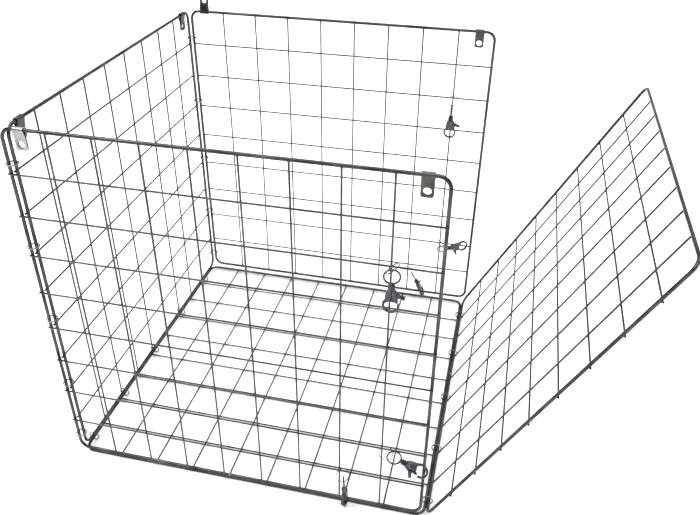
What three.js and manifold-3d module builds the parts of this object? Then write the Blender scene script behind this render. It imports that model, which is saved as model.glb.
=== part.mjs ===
// Open wire dog crate: five welded wire panels hinged with hog rings, six strap tabs and six snap hooks.
// Millimetres, +Z up. X runs from the left end to the door, Y from the front to the back. The origin is
// under the middle of the crate's box, on the plane that the hog rings stand on.
import * as THREE from "three";
import { mergeVertices } from "three/addons/utils/BufferGeometryUtils.js";
import Module from "manifold-3d";

const wasm = await Module();
wasm.setup();

// ---- Driving dimensions ----
const panelSize = 450; // between the centrelines of opposite rails
const cells = 9; // square cells along each side of a panel
const pitch = panelSize / cells;
const railDiameter = 4;
const railRadius = railDiameter / 2;
const railSides = 6;
const cornerRadius = 12; // of a panel's rail, on its centreline
const cornerSteps = 3;
const gridWire = 2; // side of the square bar that stands for a 2.2 mm round wire
const uprightOffset = 0.9; // a panel's uprights lie this far outside the plane of its rails
const lapOffset = uprightOffset + gridWire - 0.2; // its cross wires are pressed 0.2 mm into them
const floorHeight = 6; // of the floor's rails above the ground
const railPairGap = 4.3; // between the centrelines of a floor rail and the rail that stands on it
const leftEndShift = 4.3; // of the left end's panel towards the back
const frontPlace = [-4.5, -4.3]; // of the front panel's hinge rail, from the left end's front rail
const backPlace = [4.8, 4.3]; // of the back panel's hinge rail, from the left end's back rail
const doorRise = THREE.MathUtils.degToRad(30); // of the door's rail, seen from the floor's rail
const doorLean = THREE.MathUtils.degToRad(28); // of the open door, from upright

const ringRadius = 6.3; // centreline of a hog ring, so 14.1 mm across
const ringWire = 1.5;
const ringSides = 4;
const ringSteps = 11;
const ringMouth = THREE.MathUtils.degToRad(12); // the slit where a hog ring's two ends meet
const ringRise = 1.2; // of a floor ring's middle above the floor rail
const ringPlaces = [0.45, 2.2, 4.2, 6.2, 8.2].map((cell) => cell * pitch); // along a hinge

const tabWidth = 12.5;
const tabLength = 22; // below the rail's centreline
const tabSheet = 0.9;
const tabClearance = 0.35; // round the rail
const tabHalfGap = 0.6; // between the two leaves below the rail
const tabPinch = 7; // below the centreline, where the leaves start to run side by side
const tabHoleRadius = 4;
const tabHoleDrop = 16;
const tabInset = 21; // of its middle from the panel's corner

const splitRadius = 8; // centreline of a split ring
const splitWire = 1;
const swivelRadius = 8.25; // centreline of a swivel ring
const swivelWire = 2;
const hookThickness = 5;
const loopThickness = 3.4;
const loopDrop = 35; // from the swivel ring's middle to the loop's middle
const loopInner = 6.5;
const loopOuter = 9.1;
const loopRaise = 0.35; // of the outer circle's middle, which thins the loop's far side
const slotWidth = 2;
const triggerThickness = 1.4;
const rivetPlace = [1.5, -19.5];
const rivetRadius = 1.1;
const barrelTop = -9.7;
const neckRadius = 1.3;

const arcSteps = 6; // sets how finely each arc in a plate's outline is cut

// ---- Materials ----
function metal(color, roughness) {
  return new THREE.MeshStandardMaterial({ color, roughness, metalness: 1 });
}
const panelSteel = metal(0x6c6e72, 0.4);
const ringSteel = metal(0x9a9ca0, 0.3);
const strapSteel = metal(0x77756c, 0.5);
const splitSteel = metal(0xb4b6ba, 0.25);
const hookZinc = metal(0x45474c, 0.35);
const triggerZinc = metal(0x3c3e43, 0.4);

// ---- Solids ----
function solidOf(geometry) {
  const bare = geometry.index ? geometry.toNonIndexed() : geometry.clone();
  bare.deleteAttribute("normal");
  bare.deleteAttribute("uv");
  const merged = mergeVertices(bare, 1e-4);
  return new wasm.Manifold(
    new wasm.Mesh({
      numProp: 3,
      vertProperties: merged.attributes.position.array,
      triVerts: new Uint32Array(merged.index.array),
    }),
  );
}

function geometryOf(solid) {
  const mesh = solid.getMesh();
  const geometry = new THREE.BufferGeometry();
  geometry.setAttribute("position", new THREE.BufferAttribute(mesh.vertProperties, 3));
  geometry.setIndex(new THREE.BufferAttribute(mesh.triVerts, 1));
  geometry.computeVertexNormals();
  return geometry;
}

function join(geometries) {
  return geometries.map(solidOf).reduce((whole, next) => whole.add(next));
}

function box(low, high) {
  const size = high.map((value, axis) => value - low[axis]);
  const middle = high.map((value, axis) => (value + low[axis]) / 2);
  return new THREE.BoxGeometry(...size).translate(...middle);
}

// A prism of an outline in X and Z, as thick as given about the plane Y = 0.
function plate(outline, thickness) {
  const geometry = new THREE.ExtrudeGeometry(outline, {
    depth: thickness,
    steps: 1,
    curveSegments: arcSteps,
    bevelEnabled: false,
  });
  return geometry.translate(0, 0, -thickness / 2).rotateX(Math.PI / 2);
}

// A cylinder along Y, through a point of the XZ plane.
function crossPin(radius, length, [x, z], sides = 12) {
  return new THREE.CylinderGeometry(radius, radius, length, sides).translate(x, 0, z);
}

// An arc in the XZ plane, from one angle to another. It is all stations and no arc lengths to measure.
class Arc extends THREE.Curve {
  constructor(radius, start, end) {
    super();
    this.radius = radius;
    this.start = start;
    this.end = end;
  }
  getPoint(t) {
    const angle = this.start + t * (this.end - this.start);
    return new THREE.Vector3(Math.cos(angle), 0, Math.sin(angle)).multiplyScalar(this.radius);
  }
}

// The centreline of a panel's rail, in the panel's plane: equal steps of t fall on the bends of its corners.
class RailLoop extends THREE.Curve {
  getPoint(t) {
    const stations = 4 * (cornerSteps + 1);
    const place = (((t % 1) + 1) % 1) * stations;
    const index = Math.floor(place);
    const from = this.station(index);
    return from.lerp(this.station((index + 1) % stations), place - index);
  }
  station(index) {
    const corner = Math.floor(index / (cornerSteps + 1));
    const bend = (index % (cornerSteps + 1)) / cornerSteps;
    const angle = (corner + bend - 1) * (Math.PI / 2);
    const near = cornerRadius;
    const far = panelSize - cornerRadius;
    const centre = [
      [far, near],
      [far, far],
      [near, far],
      [near, near],
    ][corner];
    return new THREE.Vector3(
      centre[0] + cornerRadius * Math.cos(angle),
      0,
      centre[1] + cornerRadius * Math.sin(angle),
    );
  }
  getPointAt(t) {
    return this.getPoint(t);
  }
  getTangentAt(t) {
    return this.getTangent(t);
  }
}

// ---- Sub-parts ----
// One welded panel in the plane Y = 0, from its corner at the origin, with its outer face towards -Y.
function panelSolid() {
  const stations = 4 * (cornerSteps + 1);
  const rail = new THREE.TubeGeometry(new RailLoop(), stations, railRadius, railSides, true);
  const bars = [];
  const half = gridWire / 2;
  for (let line = 1; line < cells; line += 1) {
    const at = line * pitch;
    bars.push(box([at - half, -uprightOffset - half, 0], [at + half, -uprightOffset + half, panelSize]));
    const [near, far] = [-railRadius, panelSize + railRadius];
    bars.push(box([near, -lapOffset - half, at - half], [far, -lapOffset + half, at + half]));
  }
  return join([rail, ...bars]);
}

// A tube of one turn or less in the XZ plane, with flat ends.
function arcTube(radius, wire, sides, steps, start, end) {
  const section = new THREE.Shape();
  for (let corner = 0; corner < sides; corner += 1) {
    const angle = (corner / sides) * 2 * Math.PI;
    const point = [(wire / 2) * Math.cos(angle), (wire / 2) * Math.sin(angle)];
    if (corner === 0) section.moveTo(...point);
    else section.lineTo(...point);
  }
  section.closePath();
  return new THREE.ExtrudeGeometry(section, { steps, extrudePath: new Arc(radius, start, end) });
}

function hogRing() {
  const end = 2 * Math.PI - ringMouth / 2;
  return arcTube(ringRadius, ringWire, ringSides, ringSteps, ringMouth / 2, end);
}

function closedRing(radius, wire, sides, steps) {
  return new THREE.TorusGeometry(radius, wire / 2, sides, steps).rotateX(Math.PI / 2);
}

// A strap folded over a rail that runs along X through the origin, both leaves hanging down.
function tabSolid() {
  const inner = railRadius + tabClearance;
  const outer = inner + tabSheet;
  const strap = new THREE.Shape();
  strap.moveTo(outer, 0);
  strap.absarc(0, 0, outer, 0, Math.PI, false);
  strap.lineTo(-tabHalfGap - tabSheet, -tabPinch);
  strap.lineTo(-tabHalfGap - tabSheet, -tabLength);
  strap.lineTo(-tabHalfGap, -tabLength);
  strap.lineTo(-tabHalfGap, -tabPinch);
  strap.lineTo(-inner, 0);
  strap.absarc(0, 0, inner, Math.PI, 0, true);
  strap.lineTo(tabHalfGap, -tabPinch);
  strap.lineTo(tabHalfGap, -tabLength);
  strap.lineTo(tabHalfGap + tabSheet, -tabLength);
  strap.lineTo(tabHalfGap + tabSheet, -tabPinch);
  strap.closePath();
  const folded = plate(strap, tabWidth).rotateZ(Math.PI / 2);
  const hole = crossPin(tabHoleRadius, 10, [0, -tabHoleDrop], 8);
  return solidOf(folded).subtract(solidOf(hole));
}

// The swivel ring, with the necked post and head that hold it in the hook's barrel.
function swivelRingSolid() {
  const ring = closedRing(swivelRadius, swivelWire, 5, 14);
  const post = new THREE.CylinderGeometry(neckRadius, neckRadius, 5, 6);
  post.rotateX(Math.PI / 2).translate(0, 0, -swivelRadius - 2.5);
  const head = new THREE.CylinderGeometry(2, 2, 1.2, 6);
  head.rotateX(Math.PI / 2).translate(0, 0, -swivelRadius - 5);
  return join([ring, post, head]);
}

// The cast hook: barrel, body and loop in one, with the rivet across the trigger's slot.
function hookBodySolid() {
  const body = new THREE.Shape();
  body.moveTo(-3.6, barrelTop);
  body.lineTo(3.6, barrelTop);
  body.lineTo(3.6, -15.4);
  body.lineTo(5.6, -17.4);
  body.lineTo(6.3, -20.6);
  body.lineTo(4.6, -29);
  body.lineTo(-7.4, -31);
  body.lineTo(-6.3, -20.6);
  body.lineTo(-5.6, -17.4);
  body.lineTo(-3.6, -15.4);
  body.closePath();

  const mouthStart = THREE.MathUtils.degToRad(62);
  const mouthEnd = THREE.MathUtils.degToRad(380);
  const loop = new THREE.Shape();
  loop.absarc(0, -loopDrop, loopInner, mouthStart, mouthEnd, false);
  loop.absarc(0, -loopDrop + loopRaise, loopOuter, mouthEnd, mouthStart, true);
  loop.closePath();

  const eye = crossPin(loopInner, 10, [0, -loopDrop], 16);
  const slot = box([-3.4, -slotWidth / 2, -30.5], [12, slotWidth / 2, -16.2]);
  const window = box([-2.4, -10, -14.9], [2.4, 10, -11.3]);
  const bore = new THREE.CylinderGeometry(neckRadius + 0.3, neckRadius + 0.3, 4, 8);
  bore.rotateX(Math.PI / 2).translate(0, 0, barrelTop - 1);
  const rivet = crossPin(rivetRadius, hookThickness + 0.8, rivetPlace, 8);
  const cast = solidOf(plate(body, hookThickness)).subtract(solidOf(eye));
  const whole = cast.add(solidOf(plate(loop, loopThickness)));
  return whole.subtract(join([slot, window, bore])).add(solidOf(rivet));
}

// The sprung trigger: a gate that closes the loop's mouth, a hub round the rivet and a thumb lever.
function triggerSolid() {
  const [x, z] = rivetPlace;
  const lever = new THREE.Shape();
  lever.moveTo(x - 2.4, z + 1);
  lever.lineTo(x, z + 2.4);
  lever.lineTo(x + 3, z + 1.2);
  lever.lineTo(13.5, -23.2);
  lever.lineTo(13.5, -25.6);
  lever.lineTo(6.6, -25.4);
  lever.lineTo(7.2, -31);
  lever.lineTo(4.9, -31.6);
  lever.lineTo(2.2, -27);
  lever.lineTo(-1.5, -22.5);
  lever.closePath();
  const hole = crossPin(rivetRadius + 0.3, 10, rivetPlace, 8);
  return solidOf(plate(lever, triggerThickness)).subtract(solidOf(hole));
}

const panelGeometry = geometryOf(panelSolid());
const ringGeometry = hogRing();
const tabGeometry = geometryOf(tabSolid());
const swivelRingGeometry = geometryOf(swivelRingSolid());
const hookBodyGeometry = geometryOf(hookBodySolid());
const triggerGeometry = geometryOf(triggerSolid());
const splitRingGeometry = closedRing(splitRadius, splitWire, 4, 12);

// ---- Assembly ----
const crate = new THREE.Group();

function add(parent, name, geometry, material) {
  const mesh = new THREE.Mesh(geometry, material);
  mesh.name = name;
  parent.add(mesh);
  return mesh;
}

function vector(x, y, z) {
  return new THREE.Vector3(x, y, z);
}

// Turns a mesh so that its own X, Y and Z axes lie along the given directions.
function orient(object, xAxis, yAxis, zAxis) {
  object.quaternion.setFromRotationMatrix(new THREE.Matrix4().makeBasis(xAxis, yAxis, zAxis));
}

const sideBase = floorHeight + railPairGap; // height of the bottom rails that stand on the floor's rails
const topHeight = sideBase + panelSize;
const frontX = frontPlace[0];
const frontY = leftEndShift + frontPlace[1];
const backX = backPlace[0];
const backY = leftEndShift + panelSize + backPlace[1];
const doorX = panelSize + railPairGap * Math.cos(doorRise);
const doorZ = floorHeight + railPairGap * Math.sin(doorRise);

const right = vector(1, 0, 0);
const inward = vector(0, 1, 0);
const up = vector(0, 0, 1);

function addPanel(name, place, xAxis, yAxis, zAxis) {
  const panel = add(crate, name, panelGeometry, panelSteel);
  panel.position.set(...place);
  orient(panel, xAxis, yAxis, zAxis);
}

function addPanels() {
  const left = right.clone().negate();
  const outward = inward.clone().negate();
  const doorUp = vector(Math.sin(doorLean), 0, Math.cos(doorLean));
  const doorInward = vector(-Math.cos(doorLean), 0, Math.sin(doorLean));
  addPanel("floor_panel", [0, panelSize, floorHeight], right, up, outward);
  addPanel("left_end_panel", [0, leftEndShift + panelSize, sideBase], outward, right, up);
  addPanel("front_panel", [frontX, frontY, sideBase], right, inward, up);
  addPanel("back_panel", [backX + panelSize, backY, sideBase], left, outward, up);
  addPanel("door_panel", [doorX, 0, doorZ], inward, doorInward, doorUp);
}

// A row of hog rings along a hinge, each in the plane across the hinge. Their mouths open along `mouth`.
function addRings(name, start, along, mouth) {
  ringPlaces.forEach((place, index) => {
    const ring = add(crate, `${name}_${index + 1}`, ringGeometry, ringSteel);
    ring.position.copy(start).addScaledVector(along, place);
    orient(ring, mouth, along, mouth.clone().cross(along));
  });
}

function addHogRings() {
  const upAndOut = vector(1, 0, 1).normalize();
  const outAndFront = vector(-1, -1, 0).normalize();
  const outAndBack = vector(-1, 1, 0).normalize();
  addRings("left_end_ring", vector(0, 0, floorHeight + ringRise), inward, upAndOut);
  const doorRingX = (panelSize + doorX) / 2;
  addRings("door_ring", vector(doorRingX, 0, floorHeight + ringRise), inward, upAndOut);
  addRings("front_edge_ring", vector(frontX / 2, (leftEndShift + frontY) / 2, sideBase), up, outAndFront);
  const backRingY = (leftEndShift + panelSize + backY) / 2;
  addRings("back_edge_ring", vector(backX / 2, backRingY, sideBase), up, outAndBack);
}

// A strap tab on a top rail that runs along `along`, turned about the rail by its own angle.
function addTab(name, place, along, degrees) {
  const tab = add(crate, name, tabGeometry, strapSteel);
  tab.position.copy(place);
  orient(tab, along, up.clone().cross(along), up);
  tab.rotateX(THREE.MathUtils.degToRad(degrees));
}

function addTabs() {
  const far = panelSize - tabInset;
  addTab("front_left_tab", vector(frontX + tabInset, frontY, topHeight), right, 0);
  addTab("front_right_tab", vector(frontX + far, frontY, topHeight), right, 0);
  addTab("back_left_tab", vector(backX + tabInset, backY, topHeight), right, 172);
  addTab("back_right_tab", vector(backX + far, backY, topHeight), right, 0);
  addTab("left_end_front_tab", vector(0, leftEndShift + tabInset, topHeight), inward, 0);
  addTab("left_end_back_tab", vector(0, leftEndShift + far, topHeight), inward, 0);
}

// `direction` with the part of it along `axis` taken away.
function across(direction, axis) {
  return direction.clone().addScaledVector(axis, -direction.dot(axis)).normalize();
}

// A split ring in the plane across ringFace, then a swivel ring across swivelFace, a hook body and a
// trigger. The hook points from the swivel ring's middle along `aim`, and its thumb lever to `lever`.
function addHook(name, { ringMiddle, ringFace, swivelMiddle, swivelFace, aim, lever }) {
  const ring = add(crate, `${name}_split_ring`, splitRingGeometry, splitSteel);
  ring.position.copy(ringMiddle);
  ring.quaternion.setFromUnitVectors(inward, ringFace.clone().normalize());

  const back = aim.clone().normalize().negate();
  const face = across(swivelFace, back);
  const swivel = add(crate, `${name}_swivel_ring`, swivelRingGeometry, hookZinc);
  swivel.position.copy(swivelMiddle);
  orient(swivel, face.clone().cross(back), face, back);

  const side = across(lever, back);
  const body = add(crate, `${name}_body`, hookBodyGeometry, hookZinc);
  const trigger = add(crate, `${name}_trigger`, triggerGeometry, triggerZinc);
  for (const part of [body, trigger]) {
    part.position.copy(swivelMiddle);
    orient(part, side, back.clone().cross(side), back);
  }
}

// The middle of a swivel ring whose hook points along `aim` and has its loop's middle at `loop`.
function middleBehind(loop, aim) {
  return loop.clone().addScaledVector(aim.clone().normalize(), -loopDrop);
}

// Each hook's split ring goes round an upright beside a cross wire. Rows are counted from the bottom rail.
function addHooks() {
  const front8 = frontX + 8 * pitch;
  const front7 = frontX + 7 * pitch;
  const back8 = backX + 8 * pitch;
  const back7 = backX + 7 * pitch;
  const row = (count) => sideBase + count * pitch;
  const down = up.clone().negate();
  const outward = inward.clone().negate();

  addHook("front_upper_hook", {
    ringMiddle: vector(front8 + 1.6, frontY + 0.8, row(7) - 4.2),
    ringFace: vector(0.72, -0.54, -0.44),
    swivelMiddle: vector(front8 + 0.5, frontY + 4.4, row(7) - 16.7),
    swivelFace: vector(0.15, -1, 0),
    aim: down,
    lever: right,
  });

  const sideAim = vector(0.92, 0, -0.4);
  addHook("front_side_hook", {
    ringMiddle: vector(front8 + 4.8, frontY - uprightOffset, row(2) - 8.3),
    ringFace: vector(-0.3, 0.43, -0.85),
    swivelMiddle: middleBehind(vector(front8 + 46.9, frontY - uprightOffset, row(2) - 27.4), sideAim),
    swivelFace: vector(0, -1, 0.3),
    aim: sideAim,
    lever: vector(0, -0.95, -0.3),
  });

  const frontAim = vector(0.02, 0.17, -0.985);
  addHook("front_floor_hook", {
    ringMiddle: vector(front7 + 5.1, frontY - 5.4, row(1) - 4.5),
    ringFace: vector(-0.44, 0.78, -0.45),
    swivelMiddle: middleBehind(vector(front7 + 8, frontY - 1.8, floorHeight + 3.5), frontAim),
    swivelFace: vector(0.95, 0.27, 0.16),
    aim: frontAim,
    lever: outward,
  });

  addHook("back_upper_hook", {
    ringMiddle: vector(back8, backY - 3.5, row(7) - 2.2),
    ringFace: vector(0, -0.646, 0.763),
    swivelMiddle: vector(back8, backY - 9.7, row(7) - 13.8),
    swivelFace: right,
    aim: down,
    lever: right,
  });

  const yawAim = vector(0.866, 0.5, 0);
  addHook("back_side_hook", {
    ringMiddle: vector(back8 + 2.6, backY - 2.1, row(2) + 0.5),
    ringFace: vector(0.7, 0.15, 0.7),
    swivelMiddle: middleBehind(vector(back8 + 37, backY + lapOffset - 0.4, row(2)), yawAim),
    swivelFace: up,
    aim: yawAim,
    lever: down,
  });

  const backAim = vector(0.42, 0.16, -0.89);
  addHook("back_floor_hook", {
    ringMiddle: vector(back7 + 3.4, backY + 0.5, row(1) - 12.8),
    ringFace: vector(0.2, -0.46, 0.87),
    swivelMiddle: middleBehind(vector(back7 + 26, backY + 2.8, floorHeight + 3.6), backAim),
    swivelFace: vector(0.82, 0.36, 0.45),
    aim: backAim,
    lever: inward,
  });
}

addPanels();
addHogRings();
addTabs();
addHooks();

crate.updateMatrixWorld(true);
const extent = new THREE.Box3().setFromObject(crate, true);
const middle = extent.getCenter(vector(0, 0, 0));
crate.position.set(-middle.x, -middle.y, -extent.min.z);

export default crate;
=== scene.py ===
"""The looks of an open wire dog crate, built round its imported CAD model.

Lengths are in millimetres in the CAD's own axes, until place() turns them into the frame's metres. They
are counted from FLOOR_HEIGHT below the point where the centrelines of the floor's front and left rails
would meet.
"""

import math
import random

import bmesh
import bpy
from mathutils import Euler, Matrix, Vector


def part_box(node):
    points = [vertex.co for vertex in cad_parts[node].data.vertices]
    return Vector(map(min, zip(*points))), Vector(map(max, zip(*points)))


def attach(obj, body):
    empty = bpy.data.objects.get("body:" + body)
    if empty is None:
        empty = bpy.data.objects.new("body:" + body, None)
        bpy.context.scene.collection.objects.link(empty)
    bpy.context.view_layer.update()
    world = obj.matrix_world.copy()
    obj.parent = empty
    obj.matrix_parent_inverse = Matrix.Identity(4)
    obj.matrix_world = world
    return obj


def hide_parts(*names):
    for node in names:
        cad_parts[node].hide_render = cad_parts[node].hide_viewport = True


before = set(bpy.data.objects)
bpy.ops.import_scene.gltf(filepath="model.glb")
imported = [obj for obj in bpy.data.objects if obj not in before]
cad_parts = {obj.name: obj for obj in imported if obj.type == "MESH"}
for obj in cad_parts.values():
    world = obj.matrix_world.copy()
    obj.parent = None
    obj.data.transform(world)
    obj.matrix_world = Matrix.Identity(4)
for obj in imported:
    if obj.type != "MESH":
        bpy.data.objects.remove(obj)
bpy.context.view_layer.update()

# ---- Driving dimensions: the CAD's, but for the radius and the offsets of the round grid wires ----
PANEL = 450.0  # between the centrelines of opposite rails
CELLS = 9
PITCH = PANEL / CELLS
RAIL_RADIUS = 2.0
CORNER_RADIUS = 12.0
WIRE_RADIUS = 1.1
UPRIGHT_OFFSET = 0.95  # from the plane of a panel's rails out to its upright wires
LAP_OFFSET = 2.75  # and to its level wires, which lap over the upright ones
LAP_REACH = 3.7  # and to its outermost face in the CAD
RAIL_FLAT = RAIL_RADIUS * math.cos(math.pi / 6)  # to the front face of the CAD's six-sided rail
FLOOR_HEIGHT = 6.0
SIDE_BASE = 10.3  # height of the bottom rails that stand on the hinges
TOP = SIDE_BASE + PANEL
LEFT_SHIFT = 4.3  # of the left end towards the back
FRONT_X, FRONT_Y = -4.5, 0.0
BACK_X, BACK_Y = 4.8, 458.6
DOOR_X, DOOR_Z = 453.724, 8.15
DOOR_LEAN = math.radians(28)
RING_PLACES = [22.5, 110.0, 210.0, 310.0, 410.0]  # of the hog rings along a hinge
RING_RADIUS = 6.3
RING_RISE = 1.2  # of the floor's hog rings above its rails
TAB_INSET = 21.0
TAB_HALF_WIDTH = 6.25
TAB_LENGTH = 22.0
TAB_SHEET = 0.9
TAB_HOLE_DROP = 16.0
TAB_HOLE_RADIUS = 4.0
LOOP_Z = -35.0  # middle of a hook's loop, from the middle of its swivel ring
LOOP_INNER, LOOP_OUTER = 6.5, 9.1
RIVET = (1.5, -19.5)

X = Vector((1, 0, 0))
Y = Vector((0, 1, 0))
Z = Vector((0, 0, 1))
MM = 0.001
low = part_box("floor_panel")[0]
ORIGIN = low + Vector((RAIL_RADIUS, RAIL_FLAT, LAP_REACH - FLOOR_HEIGHT)) * MM


def place(origin, x_axis, y_axis, z_axis):
    """The matrix that takes a piece's own millimetres to the frame's metres."""
    turn = Matrix((x_axis, y_axis, z_axis)).transposed().to_4x4()
    return Matrix.Translation(ORIGIN + Vector(origin) * MM) @ turn @ Matrix.Scale(MM, 4)


# ---- Materials ----
PATCHES = 45.0  # noise scale, in patches to the metre
FINE_SHARE = 0.4  # of the fine grain in the colour
COLOUR_SPAN = (0.35, 0.68)  # of the noise, from the dark colour to the light one
GLOSS_SPAN = (0.3, 0.7)  # of the noise, from the glossiest to the dullest
RELIEF = 0.35  # strength of the bump
RELIEF_HEIGHT = 0.0004  # metres


def metal(name, dark, light, roughness, spread, grain=900.0):
    """Metal whose colour and gloss drift in patches, with a fine grain that also lifts the surface."""
    material = bpy.data.materials.new(name)
    material.use_nodes = True
    nodes = material.node_tree.nodes
    links = material.node_tree.links
    shader = nodes["Principled BSDF"]
    shader.inputs["Metallic"].default_value = 1.0
    where = nodes.new("ShaderNodeTexCoord")

    def noise(scale, detail):
        node = nodes.new("ShaderNodeTexNoise")
        node.inputs["Scale"].default_value = scale
        node.inputs["Detail"].default_value = detail
        links.new(where.outputs["Object"], node.inputs["Vector"])
        return node.outputs["Fac"]

    patches = noise(PATCHES, 3.0)
    fine = noise(grain, 2.0)
    both = nodes.new("ShaderNodeMix")
    both.inputs[0].default_value = FINE_SHARE
    links.new(patches, both.inputs[2])
    links.new(fine, both.inputs[3])

    ramp = nodes.new("ShaderNodeValToRGB")
    for stop, position, colour in zip(ramp.color_ramp.elements, COLOUR_SPAN, (dark, light)):
        stop.position = position
        stop.color = (*colour, 1)
    links.new(both.outputs[0], ramp.inputs["Fac"])
    links.new(ramp.outputs["Color"], shader.inputs["Base Color"])

    gloss = nodes.new("ShaderNodeMapRange")
    gloss.inputs["From Min"].default_value = GLOSS_SPAN[0]
    gloss.inputs["From Max"].default_value = GLOSS_SPAN[1]
    gloss.inputs["To Min"].default_value = roughness - spread
    gloss.inputs["To Max"].default_value = roughness + spread
    links.new(patches, gloss.inputs["Value"])
    links.new(gloss.outputs["Result"], shader.inputs["Roughness"])

    relief = nodes.new("ShaderNodeBump")
    relief.inputs["Strength"].default_value = RELIEF
    relief.inputs["Distance"].default_value = RELIEF_HEIGHT
    links.new(fine, relief.inputs["Height"])
    links.new(relief.outputs["Normal"], shader.inputs["Normal"])
    return material


wire_steel = metal("wire_steel", (0.02, 0.021, 0.024), (0.095, 0.097, 0.105), 0.2, 0.06)
weld_steel = metal("weld_steel", (0.1, 0.1, 0.1), (0.24, 0.235, 0.23), 0.38, 0.1, 1500.0)
ring_steel = metal("hog_ring_steel", (0.1, 0.104, 0.115), (0.22, 0.225, 0.24), 0.26, 0.07)
strap_steel = metal("strap_steel", (0.03, 0.029, 0.024), (0.11, 0.107, 0.094), 0.36, 0.1, 1300.0)
# Painted highlight: a lighter copy of the strap steel, standing in for the bright light falling on the front
# left tab.
painted_highlight_strap = metal("painted_highlight_strap", (0.16, 0.162, 0.165), (0.45, 0.452, 0.455), 0.3, 0.08, 1300.0)
split_steel = metal("split_ring_steel", (0.07, 0.072, 0.08), (0.2, 0.203, 0.215), 0.2, 0.05)
hook_zinc = metal("hook_zinc", (0.03, 0.031, 0.036), (0.1, 0.102, 0.112), 0.26, 0.08, 700.0)
trigger_zinc = metal("trigger_zinc", (0.026, 0.027, 0.032), (0.085, 0.087, 0.096), 0.3, 0.08, 700.0)


# ---- Mesh building ----
DOMES = ((0.8, 0.4), (0.4, 0.75))  # width and reach of each step of a wire's domed end, in its radius
CREASE = math.radians(42)  # the least angle that stays a sharp edge
CAST_CREASE = math.radians(38)  # the same on the cast pieces


class Shape:
    """Vertices and faces gathered for one piece, in its own millimetres."""

    def __init__(self):
        self.points = []
        self.faces = []
        self.slots = []

    def grid(self, rows, slot=0, around=True, closed=False, caps=True):
        """Skins rows of equal length.

        `around` joins the two ends of each row, `closed` joins the last row to the first, and `caps` closes
        the two ends of an open skin.
        """
        base = len(self.points)
        width = len(rows[0])
        for row in rows:
            self.points.extend(tuple(point) for point in row)
        count = len(rows)
        for i in range(count if closed else count - 1):
            for j in range(width if around else width - 1):
                here = base + i * width
                there = base + ((i + 1) % count) * width
                after = (j + 1) % width
                self.face((here + j, here + after, there + after, there + j), slot)
        if caps and around and not closed:
            self.face(tuple(base + j for j in reversed(range(width))), slot)
            self.face(tuple(base + (count - 1) * width + j for j in range(width)), slot)

    def face(self, corners, slot):
        """Adds one face in a material slot."""
        self.faces.append(corners)
        self.slots.append(slot)

    def tube(self, path, radius, sides=10, closed=False, slot=0):
        """A round wire along a path that doesn't start along Y, with domed ends unless it is closed.

        `radius` is a number or one number for each point.
        """
        path = [Vector(point) for point in path]
        count = len(path)
        radii = [radius] * count if isinstance(radius, (int, float)) else list(radius)
        ways = []
        for i in range(count):
            before = path[i - 1] if closed or i else path[0]
            after = path[(i + 1) % count] if closed or i < count - 1 else path[-1]
            ways.append((after - before).normalized())
        across = (Y - ways[0] * Y.dot(ways[0])).normalized()
        rows = []
        for i in range(count):
            across = (across - ways[i] * across.dot(ways[i])).normalized()
            side = ways[i].cross(across)
            rows.append(ring_row(path[i], side, across, radii[i], sides))
        if not closed:
            first, last = rows[0], rows[-1]
            for share, reach in DOMES:
                start = path[0] - ways[0] * radii[0] * reach
                end = path[-1] + ways[-1] * radii[-1] * reach
                rows.insert(0, [start + (point - path[0]) * share for point in first])
                rows.append([end + (point - path[-1]) * share for point in last])
        self.grid(rows, slot, closed=closed)

    def bead(self, centre, size, slot):
        """A lump of weld: a squashed ball of half sizes `size`."""
        sides, steps = 8, 5
        wide, deep, tall = size
        rows = []
        for i in range(1, steps):
            lat = math.pi * i / steps
            row = []
            for j in range(sides):
                turn = 2 * math.pi * j / sides
                east = wide * math.sin(lat) * math.cos(turn)
                north = deep * math.sin(lat) * math.sin(turn)
                row.append(Vector(centre) + Vector((east, north, tall * math.cos(lat))))
            rows.append(row)
        self.grid(rows, slot)

    def lathe(self, profile, sides):
        """Turns a profile of (radius, z) pairs round the Z axis."""
        rows = [ring_row(Vector((0, 0, z)), X, Y, radius, sides) for radius, z in profile]
        self.grid(rows)

    def mesh(self, name, *materials):
        """The finished mesh, smooth but for its creases, with one material for each slot."""
        data = bpy.data.meshes.new(name)
        data.from_pydata(self.points, [], self.faces)
        for material in materials:
            data.materials.append(material)
        data.polygons.foreach_set("material_index", self.slots)
        work = bmesh.new()
        work.from_mesh(data)
        bmesh.ops.recalc_face_normals(work, faces=work.faces)
        work.to_mesh(data)
        work.free()
        data.shade_smooth()
        data.set_sharp_from_angle(angle=CREASE)
        return data


def ring_row(centre, side, across, radius, sides):
    """The corners of a ring round a point."""
    turns = [2 * math.pi * j / sides for j in range(sides)]
    return [centre + side * (radius * math.cos(t)) + across * (radius * math.sin(t)) for t in turns]


def show(name, data, matrix, body, slot, *nodes):
    """Puts a piece in place in metres, rides it on its body and lets it stand for any CAD nodes."""
    piece = bpy.data.objects.new(name, data.copy())
    piece.data.transform(matrix)
    bpy.context.scene.collection.objects.link(piece)
    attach(piece, body)
    if nodes:
        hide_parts(*nodes)


def arc(radius, start, end, steps, height=lambda t: 0.0):
    """Points of an arc in the XZ plane. `height` gives their Y from the share of the way along."""
    points = []
    for i in range(steps + 1):
        angle = start + (end - start) * i / steps
        points.append(Vector((radius * math.cos(angle), height(i / steps), radius * math.sin(angle))))
    return points


def solid_mesh(shape_mesh, *modifiers):
    """The mesh with modifiers, each a (type, settings) pair, worked into it."""
    holder = bpy.data.objects.new("holder", shape_mesh)
    bpy.context.scene.collection.objects.link(holder)
    for kind, settings in modifiers:
        modifier = holder.modifiers.new(kind.lower(), kind)
        for key, value in settings.items():
            setattr(modifier, key, value)
    graph = bpy.context.evaluated_depsgraph_get()
    made = bpy.data.meshes.new_from_object(holder.evaluated_get(graph))
    bpy.data.objects.remove(holder)
    return made


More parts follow.
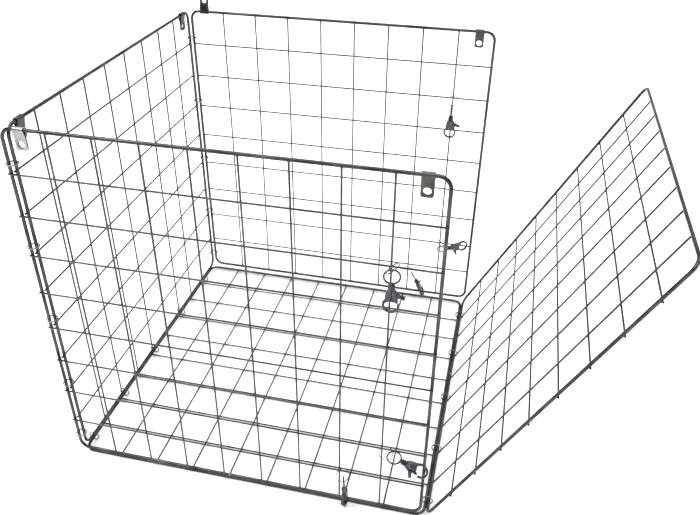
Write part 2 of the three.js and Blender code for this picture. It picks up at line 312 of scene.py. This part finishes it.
def combined(base, *steps):
    """A mesh with others joined to it or cut from it. Each step is an operation and a mesh."""
    helpers = []
    modifiers = []
    for operation, other in steps:
        helper = bpy.data.objects.new("helper", other)
        bpy.context.scene.collection.objects.link(helper)
        helpers.append(helper)
        modifiers.append(("BOOLEAN", {"operation": operation, "object": helper, "solver": "EXACT"}))
    made = solid_mesh(base, *modifiers)
    for helper in helpers:
        bpy.data.objects.remove(helper)
    return made


def rounding(width, segments, degrees):
    """The modifier that rounds every edge sharper than an angle."""
    limit = {"limit_method": "ANGLE", "angle_limit": math.radians(degrees)}
    return "BEVEL", {"width": width, "segments": segments, **limit}


def prism(name, outline, thickness, material, bevel, segments=3):
    """A plate about the plane Y = 0 with rounded rims. The outline's points are in X and Z."""
    shape = Shape()
    shape.grid([[(x, y, z) for x, z in outline] for y in (-thickness / 2, thickness / 2)])
    return solid_mesh(shape.mesh(name, material), rounding(bevel, segments, 60))


# ---- The wire panels ----
BELLY = 0.35  # the most that a panel's middle is out of flat
TWIST = 0.3  # four times the most that its corners are
WIRE_BEND = 0.1  # the most that a grid wire is out of straight
LAP_END = 0.5  # from the rail's outer side in to where a level wire's domed end begins
CROSS_WELD, CROSS_WELD_DEPTH = (1.25, 1.6), 0.75  # half sizes, the first between two limits
RAIL_WELD_GROWTH = (0.9, 1.2)
UPRIGHT_WELD, LAP_WELD = (1.7, 1.25, 0.9), (1.5, 0.7, 1.45)
UPRIGHT_WELD_OUT, UPRIGHT_WELD_IN = 0.9, 1.9  # of its middle, from the rails' plane and centreline
LAP_WELD_OUT, LAP_WELD_IN = 2.2, 0.2
SEAM_STEPS = (-1.6, -0.8, 0.0, 0.8, 1.6)
SEAM_SWELL = (0.98, 1.08, 1.12, 1.08, 0.98)


def rail_path(bow):
    """The centreline of a panel's rail, through its straight sides and the bends at its corners."""
    points = []
    near, far = CORNER_RADIUS, PANEL - CORNER_RADIUS
    bends, straights = 8, 12
    for corner, (cx, cz) in enumerate(((far, near), (far, far), (near, far), (near, near))):
        for step in range(bends + 1):
            angle = (corner - 1 + step / bends) * math.pi / 2
            points.append((cx + CORNER_RADIUS * math.cos(angle), cz + CORNER_RADIUS * math.sin(angle)))
        angle = corner * math.pi / 2
        way = Vector((-math.sin(angle), math.cos(angle)))
        here = Vector(points[-1])
        for step in range(1, straights):
            points.append(tuple(here + way * ((far - near) * step / straights)))
    return [Vector((x, bow(x, z), z)) for x, z in points]


def panel_mesh(name, seed):
    """A welded panel in the plane Y = 0, with its outer face towards -Y. Slot 1 is its welds."""
    chance = random.Random(seed)
    lift, twist = chance.uniform(-BELLY, BELLY), chance.uniform(-TWIST, TWIST)

    def bow(x, z):
        along, above = x / PANEL, z / PANEL
        belly = lift * math.sin(math.pi * along) * math.sin(math.pi * above)
        return belly + twist * (along - 0.5) * (above - 0.5)

    shape = Shape()
    shape.tube(rail_path(bow), RAIL_RADIUS, 16, closed=True)
    steps = 3 * CELLS
    stations = [PANEL * i / steps for i in range(steps + 1)]
    bends = [[0.0] + [chance.uniform(-WIRE_BEND, WIRE_BEND) for _ in range(CELLS - 1)] for _ in range(2)]

    def sway(line, kind, at):
        """Where upright (kind 0) or level (kind 1) wire number `line` runs, at a place along it."""
        return line * PITCH + bends[kind][line] * math.sin(math.pi * at / PANEL)

    for line in range(1, CELLS):
        upright = [Vector((sway(line, 0, z), bow(line * PITCH, z) - UPRIGHT_OFFSET, z)) for z in stations]
        shape.tube(upright, WIRE_RADIUS)
        lapped = [Vector((x, bow(x, line * PITCH) - LAP_OFFSET, sway(line, 1, x))) for x in stations]
        lapped[0].x = -RAIL_RADIUS + LAP_END
        lapped[-1].x = PANEL + RAIL_RADIUS - LAP_END
        shape.tube(lapped, WIRE_RADIUS)
    between_wires = (UPRIGHT_OFFSET + LAP_OFFSET) / 2
    for line in range(1, CELLS):
        for other in range(1, CELLS):
            x, z = sway(line, 0, other * PITCH), sway(other, 1, line * PITCH)
            size = (chance.uniform(*CROSS_WELD), CROSS_WELD_DEPTH, chance.uniform(*CROSS_WELD))
            shape.bead((x, bow(x, z) - between_wires, z), size, slot=1)
        for end, sense in ((0.0, 1), (PANEL, -1)):
            at = line * PITCH
            grow = chance.uniform(*RAIL_WELD_GROWTH)
            for spot, (wide, deep, tall) in (
                ((at, bow(at, end) - UPRIGHT_WELD_OUT, end + sense * UPRIGHT_WELD_IN), UPRIGHT_WELD),
                ((end + sense * LAP_WELD_IN, bow(end, at) - LAP_WELD_OUT, at), LAP_WELD),
            ):
                shape.bead(spot, (wide * grow, deep, tall * grow), slot=1)
    # The rail's own butt weld, ground to a low collar near the middle of its bottom side.
    seam = PANEL * chance.uniform(0.42, 0.58)
    collar = [Vector((seam + step, bow(seam, 0), 0)) for step in SEAM_STEPS]
    shape.tube(collar, [RAIL_RADIUS * swell for swell in SEAM_SWELL], 16, slot=1)
    return shape.mesh(name, wire_steel, weld_steel)


door_up = Vector((math.sin(DOOR_LEAN), 0, math.cos(DOOR_LEAN)))
door_in = Vector((-math.cos(DOOR_LEAN), 0, math.sin(DOOR_LEAN)))
PANELS = {
    "floor": ((0, PANEL, FLOOR_HEIGHT), X, Z, -Y),
    "left_end": ((0, LEFT_SHIFT + PANEL, SIDE_BASE), -Y, X, Z),
    "front": ((FRONT_X, FRONT_Y, SIDE_BASE), X, Y, Z),
    "back": ((BACK_X + PANEL, BACK_Y, SIDE_BASE), -X, -Y, Z),
    "door": ((DOOR_X, 0, DOOR_Z), Y, door_in, door_up),
}
for seed, (body, spot) in enumerate(PANELS.items()):
    node = f"{body}_panel"
    show(f"{body}_wires", panel_mesh(node, seed), place(*spot), body, "panel_steel", node)


# ---- Hog rings ----
RING_WIRE = 0.8
RING_MOUTH = math.radians(13)
RING_TAPER = (0.55, 0.72, 0.86, 0.95)


def hog_ring_mesh():
    """A C of round wire whose cut ends come together, each tapered towards its cut."""
    path = arc(RING_RADIUS, RING_MOUTH / 2, 2 * math.pi - RING_MOUTH / 2, 44)
    radii = [RING_WIRE] * len(path)
    for step, share in enumerate(RING_TAPER):
        radii[step] = RING_WIRE * share
        radii[-1 - step] = RING_WIRE * share
    shape = Shape()
    shape.tube(path, radii)
    return shape.mesh("hog_ring", ring_steel)


# Each row of rings: its body, where it starts, the way it runs and the side its rings' mouths are on.
RINGS = {
    "left_end_ring": ("floor", (0, 0, FLOOR_HEIGHT + RING_RISE), Y, X + Z),
    "door_ring": ("floor", ((PANEL + DOOR_X) / 2, 0, FLOOR_HEIGHT + RING_RISE), Y, X + Z),
    "front_edge_ring": ("left_end", (FRONT_X / 2, (LEFT_SHIFT + FRONT_Y) / 2, SIDE_BASE), Z, -X - Y),
    "back_edge_ring": ("left_end", (BACK_X / 2, (LEFT_SHIFT + PANEL + BACK_Y) / 2, SIDE_BASE), Z, Y - X),
}
hog_ring = hog_ring_mesh()
for row, (body, start, along, mouth) in RINGS.items():
    mouth = mouth.normalized()
    for index, at in enumerate(RING_PLACES):
        spot = place(Vector(start) + along * at, mouth, along, mouth.cross(along))
        node = f"{row}_{index + 1}"
        show(f"{node}_wire", hog_ring, spot, body, "hog_ring_steel", node)


# ---- Strap tabs ----
TAB_SHOULDER = -10.0  # where the flat leaves begin, from the rail's centreline
TAB_CORNER = 2.6
LEAF_Y = 1.05  # from the fold's middle plane to the middle of each leaf
FOLD_RADIUS = 2.8  # to the middle of the sheet, round the rail
FOLD_SIDE = [(2.3, -2.6), (LEAF_Y + 0.25, -7.0), (LEAF_Y, -8.4), (LEAF_Y, TAB_SHOULDER)]


def leaf_outline(shoulders):
    """The edge of a leaf, from its shoulders round its two rounded corners and back up."""
    tip, inset = -TAB_LENGTH, TAB_HALF_WIDTH - TAB_CORNER
    edge = [(x, TAB_SHOULDER) for x in shoulders]
    drop = tip + TAB_CORNER - TAB_SHOULDER
    edge += [(TAB_HALF_WIDTH, TAB_SHOULDER + drop * i / 4) for i in range(1, 4)]
    for i in range(5):
        angle = -math.pi / 2 * i / 4
        edge.append((inset + TAB_CORNER * math.cos(angle), tip + TAB_CORNER + TAB_CORNER * math.sin(angle)))
    edge += [(inset - inset * 2 * i / 6, tip) for i in range(1, 6)]
    mirrored = [(-x, z) for x, z in edge if x > 0 and z < TAB_SHOULDER and z > tip]
    return edge + [(-inset, tip)] + list(reversed(mirrored))


def tab_mesh():
    """A strip folded over the rail, with one hole through both of its rounded leaves."""
    shoulders = [-TAB_HALF_WIDTH + TAB_HALF_WIDTH * i / 5 for i in range(11)]
    edge = leaf_outline(shoulders)
    shape = Shape()
    for y in (-LEAF_Y, LEAF_Y):
        rows = []
        for share in (0.0, 0.12, 0.5, 1.0):
            row = []
            for x, z in edge:
                away = Vector((x, z + TAB_HOLE_DROP))
                rim = away.normalized() * TAB_HOLE_RADIUS
                spot = rim.lerp(away, share)
                row.append((spot.x, y, spot.y - TAB_HOLE_DROP))
            rows.append(row)
        shape.grid(rows, caps=False)
    over_rail = [(spot.x, spot.z) for spot in arc(FOLD_RADIUS, math.pi, 0.0, 12)]
    profile = [(-y, z) for y, z in reversed(FOLD_SIDE)] + over_rail + FOLD_SIDE
    shape.grid([[(x, y, z) for x in shoulders] for y, z in profile], around=False)
    joined = ("WELD", {"merge_threshold": 0.001})
    thick = ("SOLIDIFY", {"thickness": TAB_SHEET, "offset": 0.0})
    made = solid_mesh(shape.mesh("tab", strap_steel), joined, thick, rounding(0.16, 2, 50))
    made.set_sharp_from_angle(angle=CREASE)
    return made


# Each tab: its place, the way its rail runs, and how far it is turned up about the rail.
FAR_TAB = PANEL - TAB_INSET
TABS = {
    "front_left_tab": ((FRONT_X + TAB_INSET, FRONT_Y, TOP), X, 0),
    "front_right_tab": ((FRONT_X + FAR_TAB, FRONT_Y, TOP), X, 0),
    "back_left_tab": ((BACK_X + TAB_INSET, BACK_Y, TOP), X, 172),
    "back_right_tab": ((BACK_X + FAR_TAB, BACK_Y, TOP), X, 0),
    "left_end_front_tab": ((0, LEFT_SHIFT + TAB_INSET, TOP), Y, 0),
    "left_end_back_tab": ((0, LEFT_SHIFT + FAR_TAB, TOP), Y, 0),
}
tab = tab_mesh()
# Only the front left tab takes the lighter copy, a painted highlight in place of the light on that corner.
painted_highlight_tab = tab.copy()
painted_highlight_tab.materials[0] = painted_highlight_strap
for name, (spot, along, degrees) in TABS.items():
    turn = Matrix.Rotation(math.radians(degrees), 4, "X")
    data = painted_highlight_tab if name == "front_left_tab" else tab
    show(f"{name}_strap", data, place(spot, along, Z.cross(along), Z) @ turn, name, "strap_steel", name)


# ---- Snap hooks ----
SPLIT_RADIUS, SPLIT_WIRE = 8.0, 0.38
SPLIT_STEP = 0.36  # of each turn from the ring's middle plane
SPLIT_START = 0.9  # radians round the ring, where its wire begins
SWIVEL_RADIUS, SWIVEL_WIRE = 8.25, 1.0
BOSS = 0.35  # that the swivel ring's wire swells by at its post
BARREL_RADIUS, GROOVE_RADIUS = 3.6, 3.25
RIB_PITCH = 0.95
BODY_THICKNESS, LOOP_THICKNESS, TRIGGER_THICKNESS = 5.2, 3.4, 1.5
LOOP_RAISE = 0.3  # of the loop's outer circle, which thins its far side


def split_ring_mesh():
    """Two turns of wire lying side by side, stepping from one to the other half way."""

    def height(share):
        step = min(max((share - 0.5) * 9, -1), 1)
        return SPLIT_STEP * math.sin(step * math.pi / 2)

    shape = Shape()
    path = arc(SPLIT_RADIUS, SPLIT_START, SPLIT_START + 4 * math.pi, 110, height)
    shape.tube(path, SPLIT_WIRE, 8)
    return shape.mesh("split_ring", split_steel)


def swivel_ring_mesh():
    """The ring with its boss, and the necked post that turns in the hook's barrel."""
    shape = Shape()
    steps, boss_steps = 56, 3.2
    path = arc(SWIVEL_RADIUS, -math.pi / 2, 3 * math.pi / 2, steps)[:-1]
    from_post = [min(i, steps - i) / boss_steps for i in range(steps)]
    radii = [SWIVEL_WIRE + BOSS * math.exp(-(far**2)) for far in from_post]
    shape.tube(path, radii, 12, closed=True)
    post = [(0.4, -8.4), (1.9, -8.6), (2.1, -9.1), (1.6, -9.4), (1.3, -9.6), (1.3, -12.6)]
    shape.lathe(post + [(1.9, -12.8), (2.0, -13.7), (1.2, -13.9)], 18)
    return shape.mesh("swivel_ring", hook_zinc)


def loop_outline(inner, outer, raised):
    """The open loop: its mouth is between 20 and 66 degrees, beside the gate."""
    start, end = math.radians(66), math.radians(380)
    steps = 42
    points = []
    for i in range(steps + 1):
        angle = start + (end - start) * i / steps
        points.append((inner * math.cos(angle), LOOP_Z + inner * math.sin(angle)))
    for i in range(steps + 1):
        angle = end - (end - start) * i / steps
        points.append((outer * math.cos(angle), LOOP_Z + raised + outer * math.sin(angle)))
    return points


def eased(points, rounds=2):
    """A closed outline with its corners cut off, and the new corners cut off in turn."""
    for _ in range(rounds):
        cut = []
        for (ax, az), (bx, bz) in zip(points, points[1:] + points[:1]):
            cut.append((0.8 * ax + 0.2 * bx, 0.8 * az + 0.2 * bz))
            cut.append((0.2 * ax + 0.8 * bx, 0.2 * az + 0.8 * bz))
        points = cut
    return points


def block(name, low, high):
    """A box from its lowest corner to its highest."""
    shape = Shape()
    corners = [(low[0], low[2]), (high[0], low[2]), (high[0], high[2]), (low[0], high[2])]
    shape.grid([[(x, y, z) for x, z in corners] for y in (low[1], high[1])])
    return shape.mesh(name, hook_zinc)


def round_bar(name, radius, length, x, z, sides):
    """A bar along Y through a point of the XZ plane."""
    shape = Shape()
    rows = [ring_row(Vector((x, y, z)), X, Z, radius, sides) for y in (-length / 2, length / 2)]
    shape.grid(rows)
    return shape.mesh(name, hook_zinc)


def hook_body_mesh():
    """The cast body: a ribbed barrel, shoulders slotted for the trigger, and a round-edged loop."""
    shoulders = [(-3.2, -14.6), (3.2, -14.6), (3.5, -15.8), (5.2, -17.8), (5.8, -20.6), (5.7, -25.0)]
    shoulders += [(4.9, -29.2), (-6.2, -31.5), (-7.2, -30.5), (-6.3, -26.5), (-5.7, -20.6), (-5.1, -17.8)]
    shoulders += [(-3.5, -15.8)]
    body = prism("hook_body", eased(shoulders), BODY_THICKNESS, hook_zinc, 0.9)
    outline = loop_outline(LOOP_INNER, LOOP_OUTER, LOOP_RAISE)
    loop = prism("hook_loop", outline, LOOP_THICKNESS, hook_zinc, 0.8, 4)
    barrel = Shape()
    ribs = [(2.2, -9.7), (3.2, -9.8), (BARREL_RADIUS, -10.2)]
    for rib in range(5):
        top = -10.5 - rib * RIB_PITCH
        ribs += [(BARREL_RADIUS, top), (GROOVE_RADIUS, top - 0.25)]
        ribs += [(GROOVE_RADIUS, top - 0.6), (BARREL_RADIUS, top - 0.8)]
    barrel.lathe(ribs + [(3.4, -15.3), (2.4, -16.4)], 28)
    return combined(
        body,
        ("DIFFERENCE", round_bar("eye", LOOP_INNER, 12, 0, LOOP_Z, 48)),
        ("UNION", loop),
        ("UNION", barrel.mesh("barrel", hook_zinc)),
        ("DIFFERENCE", block("slot", (-3.4, -1.0, -30.6), (12, 1.0, -16.6))),
    )


def rivet_mesh():
    """The rivet through the trigger, with a low domed head on each cheek."""
    shape = Shape()
    dome = [(0.9, 3.15), (1.45, 2.95), (1.6, 2.62), (1.1, 2.6)]
    profile = dome + [(radius, -y) for radius, y in reversed(dome)]
    x, z = RIVET
    rows = [ring_row(Vector((x, y, z)), X, Z, radius, 18) for radius, y in profile]
    shape.grid(rows)
    return shape.mesh("rivet", split_steel)


def trigger_mesh():
    """The gate that closes the loop's mouth, the hub round the rivet and the ridged thumb pad."""
    x, z = RIVET
    outline = [(x - 2.4, z + 1), (x, z + 2.5), (x + 3.2, z + 1.3), (9.5, -20.9), (13.3, -22.6), (13.5, -25.4)]
    outline += [(11.6, -26.0), (9.4, -24.9), (6.9, -25.2), (7.3, -29.6), (7.1, -31.2), (4.9, -31.7)]
    outline += [(2.4, -27), (-1.5, -22.5)]
    plate = prism("trigger", eased(outline, 1), TRIGGER_THICKNESS, trigger_zinc, 0.3, 2)
    pads = []
    for px, pz, radius in ((13.0, -24.2, 1.25), (11.6, -22.9, 0.8), (10.3, -22.2, 0.7)):
        pad = Shape()
        profile = [(radius * 0.6, -2.2), (radius, -1.9), (radius, 1.9), (radius * 0.6, 2.2)]
        pad.grid([ring_row(Vector((px, y, pz)), X, Z, size, 16) for size, y in profile])
        pads.append(("UNION", pad.mesh("pad", trigger_zinc)))
    return combined(plate, *pads)


# Where each hook hangs: the split ring's middle and face, the swivel ring's middle and face, the way the
# hook points, and the side its thumb lever is on.
SIDE_AIM = Vector((0.92, 0, -0.4))
FRONT_AIM = Vector((0.02, 0.17, -0.985))
YAW_AIM = Vector((0.866, 0.5, 0))
BACK_AIM = Vector((0.42, 0.16, -0.89))
FRONT_7, FRONT_8 = FRONT_X + 7 * PITCH, FRONT_X + 8 * PITCH
BACK_7, BACK_8 = BACK_X + 7 * PITCH, BACK_X + 8 * PITCH


def row_height(count):
    """The height of a level wire of the front and the back, counted from the bottom rail."""
    return SIDE_BASE + count * PITCH


def behind(loop, aim):
    """The middle of the swivel ring whose hook points along `aim` with its loop's middle at `loop`."""
    return Vector(loop) + aim.normalized() * LOOP_Z


HOOKS = {
    "front_upper_hook": (
        (FRONT_8 + 1.6, FRONT_Y + 0.8, row_height(7) - 4.2), (0.72, -0.54, -0.44),
        Vector((FRONT_8 + 0.5, FRONT_Y + 4.4, row_height(7) - 16.7)), Vector((0.15, -1, 0)), -Z, X,
    ),
    "front_side_hook": (
        (FRONT_8 + 4.8, FRONT_Y - 0.9, row_height(2) - 8.3), (-0.3, 0.43, -0.85),
        behind((FRONT_8 + 46.9, FRONT_Y - 0.9, row_height(2) - 27.4), SIDE_AIM),
        Vector((0, -1, 0.3)), SIDE_AIM, Vector((0, -0.95, -0.3)),
    ),
    "front_floor_hook": (
        (FRONT_7 + 5.1, FRONT_Y - 5.4, row_height(1) - 4.5), (-0.44, 0.78, -0.45),
        behind((FRONT_7 + 8, FRONT_Y - 1.8, FLOOR_HEIGHT + 3.5), FRONT_AIM),
        Vector((0.95, 0.27, 0.16)), FRONT_AIM, -Y,
    ),
    "back_upper_hook": (
        (BACK_8, BACK_Y - 3.5, row_height(7) - 2.2), (0, -0.646, 0.763),
        Vector((BACK_8, BACK_Y - 9.7, row_height(7) - 13.8)), X, -Z, X,
    ),
    "back_side_hook": (
        (BACK_8 + 2.6, BACK_Y - 2.1, row_height(2) + 0.5), (0.7, 0.15, 0.7),
        behind((BACK_8 + 37, BACK_Y + 2.3, row_height(2)), YAW_AIM), Z, YAW_AIM, -Z,
    ),
    "back_floor_hook": (
        (BACK_7 + 3.4, BACK_Y + 0.5, row_height(1) - 12.8), (0.2, -0.46, 0.87),
        behind((BACK_7 + 26, BACK_Y + 2.8, FLOOR_HEIGHT + 3.6), BACK_AIM),
        Vector((0.82, 0.36, 0.45)), BACK_AIM, Y,
    ),
}


def across(direction, axis):
    """`direction` with the part of it along `axis` taken away."""
    return (direction - axis * direction.dot(axis)).normalized()


split_ring = split_ring_mesh()
swivel_ring = swivel_ring_mesh()
hook_body = hook_body_mesh()
rivet = rivet_mesh()
trigger = trigger_mesh()
for cast in (hook_body, trigger):
    cast.shade_smooth()
    cast.set_sharp_from_angle(angle=CAST_CREASE)
for name, (ring_at, ring_face, swivel_at, swivel_face, aim, lever) in HOOKS.items():
    face = Vector(ring_face).normalized()
    right = face.orthogonal().normalized()
    ring_spot = place(ring_at, right, face, right.cross(face))
    back = -aim.normalized()
    flat = across(swivel_face, back)
    ring_turn = place(swivel_at, flat.cross(back), flat, back)
    side = across(lever, back)
    body_turn = place(swivel_at, side, back.cross(side), back)
    parts = {
        "split_ring": (split_ring, ring_spot, "split_ring_steel", "coil"),
        "swivel_ring": (swivel_ring, ring_turn, "hook_zinc", "cast"),
        "body": (hook_body, body_turn, "hook_zinc", "cast"),
        "trigger": (trigger, body_turn, "trigger_zinc", "cast"),
    }
    for part, (data, spot, slot, ending) in parts.items():
        node = f"{name}_{part}"
        show(f"{node}_{ending}", data, spot, node, slot, node)
    show(f"{name}_rivet", rivet, body_turn, f"{name}_body", "split_ring_steel")


# ---- Floor, light and camera ----
FLOOR_REACH = 6.0  # metres
CEILING = 2.9  # radiance overhead
PALE = 1.0 / CEILING
DARK_BAND = 0.12 / CEILING


def white_floor():
    """A plain pale floor."""
    data = bpy.data.meshes.new("studio_floor")
    corners = [(x * FLOOR_REACH, y * FLOOR_REACH, 0) for x, y in ((-1, -1), (1, -1), (1, 1), (-1, 1))]
    data.from_pydata(corners, [], [(0, 1, 2, 3)])
    floor = bpy.data.objects.new("studio_floor", data)
    material = bpy.data.materials.new("studio_white")
    material.use_nodes = True
    shader = material.node_tree.nodes["Principled BSDF"]
    shader.inputs["Base Color"].default_value = (0.93, 0.93, 0.93, 1)
    shader.inputs["Roughness"].default_value = 0.9
    data.materials.append(material)
    bpy.context.scene.collection.objects.link(floor)


def add_light(name, spot, target, size, power):
    """A square soft light turned to its target, in metres and watts."""
    light = bpy.data.lights.new(name, "AREA")
    light.shape = "SQUARE"
    light.size = size
    light.energy = power
    holder = bpy.data.objects.new(name, light)
    holder.location = spot
    holder.rotation_euler = (Vector(target) - Vector(spot)).to_track_quat("-Z", "Y").to_euler()
    bpy.context.scene.collection.objects.link(holder)


def add_world():
    """A pale horizon, a dark band above it and one wide bright ceiling.

    Seen in a level wire, the ceiling is a bright line between two dark edges.
    """
    world = bpy.data.worlds.new("studio")
    world.use_nodes = True
    nodes = world.node_tree.nodes
    links = world.node_tree.links
    where = nodes.new("ShaderNodeTexCoord")
    parts = nodes.new("ShaderNodeSeparateXYZ")
    links.new(where.outputs["Generated"], parts.inputs[0])
    glow = nodes.new("ShaderNodeValToRGB")
    elements = glow.color_ramp.elements
    elements[0].position, elements[1].position = 0.0, 1.0
    for height, level in ((0.2, PALE), (0.3, DARK_BAND), (0.52, DARK_BAND), (0.8, 1.0)):
        elements.new(height).color = (level, level, level, 1)
    elements[0].color = (PALE, PALE, PALE, 1)
    elements[-1].color = (1, 1, 1, 1)
    links.new(parts.outputs["Z"], glow.inputs["Fac"])
    background = nodes["Background"]
    background.inputs["Strength"].default_value = CEILING
    links.new(glow.outputs["Color"], background.inputs["Color"])
    bpy.context.scene.world = world


def add_camera():
    """The photograph's view: its place and turn, its focal length and the small shift of its framing."""
    eye = Vector((484.8, -594.67, 755.43))  # millimetres, like the crate's own lengths
    tilt, roll, heading = 57.068, -0.389, 13.384  # degrees
    camera = bpy.data.cameras.new("camera")
    camera.sensor_width = 36.0
    camera.lens = 38.244
    camera.shift_x = 0.01186
    camera.shift_y = 0.00157
    camera.clip_start = 0.01
    holder = bpy.data.objects.new("camera", camera)
    turn = Euler([math.radians(angle) for angle in (tilt, roll, heading)]).to_matrix().to_4x4()
    holder.matrix_world = Matrix.Translation(ORIGIN + eye * MM) @ turn
    bpy.context.scene.collection.objects.link(holder)
    bpy.context.scene.camera = holder


white_floor()
add_world()
add_light("key", (-1.6, -1.2, 2.4), (0, 0, 0.2), 0.9, 26)
add_light("fill", (2.2, -1.6, 1.8), (0, 0, 0.2), 1.5, 8)
add_light("back", (0.3, 2.2, 1.9), (0, 0, 0.3), 1.5, 8)
add_camera()
bpy.context.scene.view_settings.view_transform = "Standard"
